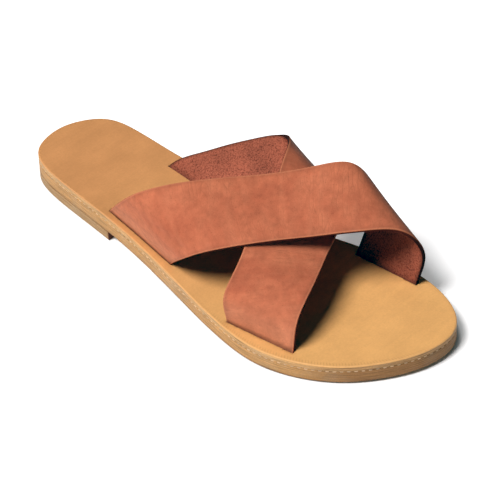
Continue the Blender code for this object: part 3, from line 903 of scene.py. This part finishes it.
def insole_leather(colours):
    """Vegetable-tanned cowhide, glazed: smooth natural grain with a satin gloss.

    To the eye it is paler at the toe and oranger at the heel, faintly clouded and brushed, darker with
    painted shade along the slits and from rubbing at the rim, and pale on the worn bevel. The forefoot's
    rim carries a row of short marks from an edge wheel.
    """
    material, tree, shader = new_material(
        "insole_vegetable_tan", IOR=LEATHER_IOR, Specular_IOR_Level=0.3)
    place = add(tree, "TexCoord").outputs["Object"]
    axes = add(tree, "SeparateXYZ", {"Vector": place})
    toe = add(tree, "MapRange", {
        "Value": axes.outputs["Y"], "From Min": -0.09, "From Max": 0.08}, interpolation_type="SMOOTHSTEP")
    base = add(tree, "Mix", {
        "Factor": toe.outputs["Result"], "A": rgba(colours.insole_heel), "B": rgba(colours.insole_toe)},
        data_type="RGBA")
    clouds = add(tree, "TexNoise", {
        "Vector": place, "Scale": per_mm(20.0), "Detail": 5.0, "Roughness": 0.6})
    drawn = add(tree, "Mapping", {"Vector": place, "Scale": (per_mm(30.0), per_mm(2.2), per_mm(30.0))})
    brushed = add(tree, "TexNoise", {
        "Vector": drawn.outputs["Vector"], "Scale": 1.0, "Detail": 4.0, "Roughness": 0.65})
    pores = add(tree, "TexNoise", {
        "Vector": place, "Scale": per_mm(1.0), "Detail": 3.0, "Roughness": 0.6})
    tone = add(tree, "MapRange", {
        "Value": clouds.outputs["Fac"], "From Min": 0.3, "From Max": 0.7, "To Min": 0.92, "To Max": 1.06})
    line = add(tree, "MapRange", {
        "Value": brushed.outputs["Fac"], "From Min": 0.3, "From Max": 0.7, "To Min": 0.97, "To Max": 1.03})
    grain = add(tree, "MapRange", {
        "Value": pores.outputs["Fac"], "From Min": 0.3, "From Max": 0.7, "To Min": 0.95, "To Max": 1.04})
    shade = add(tree, "Math", {0: tone.outputs["Result"], 1: line.outputs["Result"]}, operation="MULTIPLY")
    shade = add(tree, "Math", {0: shade.outputs["Value"], 1: grain.outputs["Result"]}, operation="MULTIPLY")
    hide = add(tree, "VectorMath", {0: base.outputs[2], 1: shade.outputs["Value"]}, operation="MULTIPLY")
    # Painted shade along the slits, and rubbing at the rim
    painted_shade_and_rub = add(tree, "Attribute", attribute_name="slit_shade_and_rim_rub").outputs["Fac"]
    dark = add(tree, "Mix", {
        "Factor": painted_shade_and_rub, "A": hide.outputs["Vector"], "B": rgba(colours.insole_rim_rub_and_shade)}, data_type="RGBA")
    sheet = add(tree, "UVMap", uv_map="UVMap").outputs["UV"]
    run = add(tree, "SeparateXYZ", {"Vector": sheet})
    turns = 2.0 * math.pi * per_mm(WHEEL_PITCH)
    beat = add(tree, "Math", {0: run.outputs["X"], 1: turns}, operation="MULTIPLY")
    wave = add(tree, "Math", {0: beat.outputs["Value"]}, operation="SINE")
    notch = add(tree, "MapRange", {"Value": wave.outputs["Value"], "From Min": 0.2, "From Max": 0.8})
    wheel = add(tree, "Attribute", attribute_name="wheel").outputs["Fac"]
    mark = add(tree, "Math", {0: notch.outputs["Result"], 1: wheel}, operation="MULTIPLY")
    faint = add(tree, "Math", {0: mark.outputs["Value"], 1: 0.2}, operation="MULTIPLY")
    marked = add(tree, "Mix", {
        "Factor": faint.outputs["Value"], "A": dark.outputs[2], "B": rgba(colours.edge_dark)},
        data_type="RGBA")
    bevel = add(tree, "Attribute", attribute_name="bevel").outputs["Fac"]
    done = add(tree, "Mix", {
        "Factor": bevel, "A": marked.outputs[2], "B": rgba(colours.insole_bevel)}, data_type="RGBA")
    tree.links.new(done.outputs[2], shader.inputs["Base Color"])
    rough = add(tree, "MapRange", {
        "Value": clouds.outputs["Fac"], "From Min": 0.3, "From Max": 0.7, "To Min": 0.46, "To Max": 0.6})
    tree.links.new(rough.outputs["Result"], shader.inputs["Roughness"])
    fine = add(tree, "Bump", {
        "Strength": 0.25, "Distance": 0.08 * MM, "Height": pores.outputs["Fac"]})
    pressed = add(tree, "Bump", {
        "Strength": 0.4, "Distance": 0.25 * MM, "Height": mark.outputs["Value"],
        "Normal": fine.outputs["Normal"]},
        invert=True)
    tree.links.new(pressed.outputs["Normal"], shader.inputs["Normal"])
    return material


def sole_edge_leather(name, base_colour, colours, roughness):
    """Cut and burnished edge of sole leather: packed fibres that streak along the edge.

    To the eye it has grey scuffs, and painted shade where the mesh's painted edge shade value says so.
    """
    material, tree, shader = new_material(
        name, Roughness=roughness, IOR=LEATHER_IOR, Specular_IOR_Level=0.12)
    run = add(tree, "UVMap", uv_map="UVMap").outputs["UV"]
    stretched = add(tree, "Mapping", {"Vector": run, "Scale": (per_mm(16.0), per_mm(0.6), 1.0)})
    fibres = add(tree, "TexNoise", {
        "Vector": stretched.outputs["Vector"], "Scale": 1.0, "Detail": 5.0, "Roughness": 0.65})
    place = add(tree, "TexCoord").outputs["Object"]
    clouds = add(tree, "TexNoise", {
        "Vector": place, "Scale": per_mm(13.0), "Detail": 4.0, "Roughness": 0.6})
    pits = add(tree, "TexNoise", {"Vector": place, "Scale": per_mm(0.9), "Detail": 3.0, "Roughness": 0.7})
    streak = add(tree, "MapRange", {
        "Value": fibres.outputs["Fac"], "From Min": 0.34, "From Max": 0.62})
    base = add(tree, "Mix", {
        "Factor": streak.outputs["Result"], "A": rgba(colours.edge_dark), "B": rgba(base_colour)},
        data_type="RGBA")
    scuff = add(tree, "MapRange", {
        "Value": clouds.outputs["Fac"], "From Min": 0.5, "From Max": 0.75, "To Max": 0.4})
    grey = add(tree, "Mix", {
        "Factor": scuff.outputs["Result"], "A": base.outputs[2], "B": rgba(colours.edge_scuff)},
        data_type="RGBA")
    tone = add(tree, "MapRange", {
        "Value": pits.outputs["Fac"], "From Min": 0.3, "From Max": 0.7, "To Min": 0.86, "To Max": 1.08})
    hide = add(tree, "VectorMath", {0: grey.outputs[2], 1: tone.outputs["Result"]}, operation="MULTIPLY")
    # Painted shade on the edge, read from the mesh's value
    painted_edge_shade_share = add(tree, "Attribute", attribute_name="painted_edge_shade").outputs["Fac"]
    done = add(tree, "Mix", {
        "Factor": painted_edge_shade_share, "A": hide.outputs["Vector"], "B": rgba(colours.edge_painted_shade)}, data_type="RGBA")
    tree.links.new(done.outputs[2], shader.inputs["Base Color"])
    bump = add(tree, "Bump", {
        "Strength": 0.4, "Distance": 0.15 * MM, "Height": fibres.outputs["Fac"]})
    tree.links.new(bump.outputs["Normal"], shader.inputs["Normal"])
    return material


def buffed_underside(colours):
    """Buffed underside of sole leather: a dry velvety grain with scuffs that run along the foot."""
    material, tree, shader = new_material("sole_underside", Roughness=0.8, IOR=LEATHER_IOR)
    place = add(tree, "TexCoord").outputs["Object"]
    clouds = add(tree, "TexNoise", {"Vector": place, "Scale": per_mm(18.0), "Detail": 5.0})
    drawn = add(tree, "Mapping", {"Vector": place, "Scale": (per_mm(1.2), per_mm(22.0), per_mm(10.0))})
    scuffs = add(tree, "TexNoise", {
        "Vector": drawn.outputs["Vector"], "Scale": 1.0, "Detail": 4.0, "Roughness": 0.7})
    tone = add(tree, "MapRange", {
        "Value": clouds.outputs["Fac"], "From Min": 0.3, "From Max": 0.7, "To Min": 0.86, "To Max": 1.1})
    line = add(tree, "MapRange", {
        "Value": scuffs.outputs["Fac"], "From Min": 0.3, "From Max": 0.7, "To Min": 0.88, "To Max": 1.08})
    both = add(tree, "Math", {0: tone.outputs["Result"], 1: line.outputs["Result"]}, operation="MULTIPLY")
    done = add(tree, "VectorMath", {
        0: colours.underside[:], 1: both.outputs["Value"]}, operation="MULTIPLY")
    tree.links.new(done.outputs["Vector"], shader.inputs["Base Color"])
    bump = add(tree, "Bump", {
        "Strength": 0.3, "Distance": 0.1 * MM, "Height": scuffs.outputs["Fac"]})
    tree.links.new(bump.outputs["Normal"], shader.inputs["Normal"])
    return material


def linen_thread(colours):
    """Waxed linen thread: pale plies twisted together, of an even dull gloss to the eye.

    The real twist, about 1 mm to the turn, is too fine to show, so its bands are drawn about 14 mm apart.
    The wave repeats after 0.63 of a cell.
    """
    material, tree, shader = new_material("sole_linen_thread", Roughness=0.6, IOR=LEATHER_IOR)
    run = add(tree, "UVMap", uv_map="UVMap").outputs["UV"]
    plies = add(tree, "TexWave", {
        "Vector": run, "Scale": per_mm(22.0), "Distortion": 0.4},
        wave_type="BANDS", bands_direction="DIAGONAL")
    tone = add(tree, "MapRange", {"Value": plies.outputs["Fac"], "To Min": 0.75, "To Max": 1.05})
    done = add(tree, "VectorMath", {
        0: colours.thread[:], 1: tone.outputs["Result"]}, operation="MULTIPLY")
    tree.links.new(done.outputs["Vector"], shader.inputs["Base Color"])
    return material


def white_paper(colours):
    """White paper sweep: matt, with a painted glow that keeps shadows on it pale.

    The glow fades near what stands on the paper, as a power of how open the spot is, which paints a dark
    contact shadow there.
    """
    colour = rgba(colours.floor)
    material, tree, shader = new_material(
        "stage_paper", Roughness=1.0, Specular_IOR_Level=0.0, Base_Color=colour, Emission_Color=colour)
    # Painted contact shadow: the glow fades near what stands on the paper
    near = add(tree, "AmbientOcclusion", {"Distance": CONTACT_REACH}, samples=8)
    fade = add(tree, "Math", {0: near.outputs["AO"], 1: CONTACT_FADE}, operation="POWER")
    glow = add(tree, "Math", {0: fade.outputs["Value"], 1: PAPER_GLOW}, operation="MULTIPLY")
    tree.links.new(glow.outputs["Value"], shader.inputs["Emission Strength"])
    return material


def settings():
    """The scene's sizes and colours."""
    return bpy.context.scene.sandal_sizes, bpy.context.scene.sandal_colours


def stand_for(piece, node):
    """Let a piece move with the sandal and stand for a solid, whose part is hidden."""
    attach(piece, BODY)
    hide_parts(node)


class SANDAL_OT_upper(bpy.types.Operator):
    """Build the two crossed straps"""

    bl_idname = "sandal.upper"
    bl_label = "Straps"

    def execute(self, context):
        sizes, colours = settings()
        materials = [nubuck(colours), cut_edge(colours), flesh_side(colours)]
        for (name, table, lateral, medial), looks in zip(STRAPS, STRAP_LOOKS):
            edges = strap_edges(table, lateral, medial, STRAP_ROWS)
            *shell, values = strap_shell(
                edges, 0.0, sizes.strap_thickness / MM, sizes.strap_edge_round / MM, STRAP_CELLS, *looks)
            stand_for(make_piece(name, *shell, materials, values), "upper")
        return {"FINISHED"}


class SANDAL_OT_insole(bpy.types.Operator):
    """Build the insole with its four slits"""

    bl_idname = "sandal.insole"
    bl_label = "Insole"

    def execute(self, context):
        sizes, colours = settings()
        points, quads, slots, uv, gap = slab(
            sole_plan, SOLE_CENTRE, SOLE_HALF, lambda s: insole_top(s) - INSOLE_THICKNESS,
            rim_profile(INSOLE_THICKNESS, *INSOLE_RIM), *INSOLE_CELLS)
        x, station, height = points.T
        on_top = height - insole_top(station) > -INSOLE_RIM[1] - LEVEL_MARGIN
        near = np.where(on_top, slit_distance(points), np.inf)
        points[:, 2] -= SLIT_DIP * bell(near, SLIT_DIP_REACH)
        wheeled = grow(station, WHEEL_STATION, WHEEL_RUN) * grow(x, WHEEL_SIDE, WHEEL_SIDE_RUN)
        values = {
            # Painted shade along the slits, and rubbing at the rim
            "slit_shade_and_rim_rub": SLIT_SHADE * bell(near, SLIT_SHADE_REACH) + RIM_RUB * bell(gap, RIM_RUB_REACH),
            "wheel": on_top * band(gap, *WHEEL_BAND) * wheeled,
            "bevel": on_top * band(gap, *BEVEL_BAND) * BEVEL_PALE,
            # Painted shade on the insole's side round the toe
            "painted_edge_shade": INSOLE_TOE_SHADE * grow(station, TOE_SHADE_STATION, TOE_SHADE_RUN),
        }
        edge = sole_edge_leather("insole_edge", colours.edge, colours, roughness=0.5)
        materials = [insole_leather(colours), edge, edge]
        piece = make_piece("insole_board", to_metres(points), quads, slots, uv, materials, values)
        cut(piece, slit_cutters(sizes.strap_thickness / MM, sizes.slit_clearance / MM, edge))
        stand_for(piece, "insole")
        return {"FINISHED"}


class SANDAL_OT_outsole(bpy.types.Operator):
    """Build the outsole"""

    bl_idname = "sandal.outsole"
    bl_label = "Outsole"

    def execute(self, context):
        colours = settings()[1]
        points, *shell = slab(
            sole_plan, SOLE_CENTRE, SOLE_HALF, sole_rise,
            rim_profile(OUTSOLE_THICKNESS + SEAM_CLOSE, *OUTSOLE_RIM), *OUTSOLE_CELLS)[:4]
        station = points[:, 1]
        # Painted shade along the foot of the outsole's edge and round the toe
        foot = FOOT_SHADE * np.clip(FOOT_SHADE_HEIGHT - points[:, 2] + sole_rise(station), 0.0, 1.0)
        toe = OUTSOLE_TOE_SHADE * grow(station, TOE_SHADE_STATION, TOE_SHADE_RUN)
        edge = sole_edge_leather("outsole_edge", colours.outsole_edge, colours, roughness=0.55)
        materials = [edge, edge, buffed_underside(colours)]
        values = {"painted_edge_shade": np.maximum(foot, toe)}
        piece = make_piece("outsole_board", to_metres(points), *shell, materials, values)
        stand_for(piece, "outsole")
        return {"FINISHED"}


class SANDAL_OT_heel_lift(bpy.types.Operator):
    """Build the heel lift"""

    bl_idname = "sandal.heel_lift"
    bl_label = "Heel lift"

    def execute(self, context):
        colours = settings()[1]
        points, *shell = slab(
            heel_plan, HEEL_CENTRE, HEEL_HALF, np.zeros_like,
            rim_profile(HEEL_RISE - LAYER_GAP + SEAM_CLOSE, *HEEL_RIM), *HEEL_CELLS)[:4]
        edge = sole_edge_leather("heel_lift_edge", colours.lift, colours, roughness=0.6)
        materials = [edge, edge, buffed_underside(colours)]
        # Painted shade on the heel lift's breast
        values = {"painted_edge_shade": grow(points[:, 1], HEEL_BREAST_STATION - BREAST_SHADE_RUN, BREAST_SHADE_RUN)}
        piece = make_piece("heel_lift_board", to_metres(points), *shell, materials, values)
        stand_for(piece, "heel_lift")
        return {"FINISHED"}


class SANDAL_OT_stitching(bpy.types.Operator):
    """Build the thread that shows in the seam of the sole"""

    bl_idname = "sandal.stitching"
    bl_label = "Stitching"

    def execute(self, context):
        sizes, colours = settings()
        piece = make_piece("sole_stitches", *stitches(
            sizes.stitch_pitch / MM, sizes.stitch_length / MM, 0.5 * sizes.thread_diameter / MM),
            [linen_thread(colours)])
        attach(piece, BODY)
        return {"FINISHED"}


class SANDAL_OT_stage(bpy.types.Operator):
    """Set the floor, the lights and the camera"""

    bl_idname = "sandal.stage"
    bl_label = "Stage"

    def execute(self, context):
        scene = bpy.context.scene
        colours = settings()[1]
        sheet = FLOOR_HALF * np.array([[-1.0, -1.0], [1.0, -1.0], [1.0, 1.0], [-1.0, 1.0]])
        corners = np.column_stack([sheet, np.full(4, -FLOOR_DROP)])
        make_piece("floor", corners, [[0, 1, 2, 3]], [0], sheet, [white_paper(colours)])
        world = bpy.data.worlds.new("studio")
        world.use_nodes = True
        background = world.node_tree.nodes["Background"]
        background.inputs["Color"].default_value = rgba(AMBIENT_COLOUR)
        background.inputs["Strength"].default_value = AMBIENT
        scene.world = world
        for name, (towards, spread, strength) in LIGHTS.items():
            data = bpy.data.lights.new(name, "SUN")
            data.angle = math.radians(spread)
            data.energy = strength
            light = bpy.data.objects.new(name, data)
            light.rotation_euler = (-Vector(towards)).to_track_quat("-Z", "Y").to_euler()
            scene.collection.objects.link(light)
        data = bpy.data.cameras.new("camera")
        data.lens = CAMERA_LENS_MM
        data.sensor_width = CAMERA_SENSOR_MM
        camera = bpy.data.objects.new("camera", data)
        place, aim = Vector(to_metres(CAMERA_PLACE)), Vector(to_metres(CAMERA_AIM))
        aimed = (aim - place).to_track_quat("-Z", "Y")
        camera.location = place
        camera.rotation_euler = (aimed @ Quaternion((0.0, 0.0, 1.0), CAMERA_ROLL)).to_euler()
        scene.collection.objects.link(camera)
        scene.camera = camera
        scene.view_settings.view_transform = "Standard"
        scene.view_settings.look = "None"
        scene.view_settings.use_curve_mapping = True
        scene.view_settings.curve_mapping.black_level = BLACK_LEVEL
        scene.view_settings.curve_mapping.update()
        return {"FINISHED"}


class VIEW3D_PT_sandal(bpy.types.Panel):
    """Sidebar panel of the sandal"""

    bl_label = "Crossed-strap sandal"
    bl_space_type = "VIEW_3D"
    bl_region_type = "UI"
    bl_category = "Sandal"

    def draw(self, context):
        for group in settings():
            for name in group.bl_rna.properties.keys():
                if name not in ("rna_type", "name"):
                    self.layout.prop(group, name)
        for step in STEPS:
            self.layout.operator(step.bl_idname)


STEPS = (
    SANDAL_OT_stage, SANDAL_OT_upper, SANDAL_OT_insole, SANDAL_OT_outsole, SANDAL_OT_heel_lift,
    SANDAL_OT_stitching,
)
CLASSES = (SandalSizes, SandalColours, *STEPS, VIEW3D_PT_sandal)


def register():
    """Register the classes and hang the settings on the scene."""
    for item in CLASSES:
        bpy.utils.register_class(item)
    bpy.types.Scene.sandal_sizes = bpy.props.PointerProperty(type=SandalSizes)
    bpy.types.Scene.sandal_colours = bpy.props.PointerProperty(type=SandalColours)


def unregister():
    """Undo register."""
    del bpy.types.Scene.sandal_colours
    del bpy.types.Scene.sandal_sizes
    for item in reversed(CLASSES):
        bpy.utils.unregister_class(item)


def main():
    """Register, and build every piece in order."""
    register()
    bpy.ops.sandal.stage()
    bpy.ops.sandal.upper()
    bpy.ops.sandal.insole()
    bpy.ops.sandal.outsole()
    bpy.ops.sandal.heel_lift()
    bpy.ops.sandal.stitching()


if __name__ == "__main__":
    main()
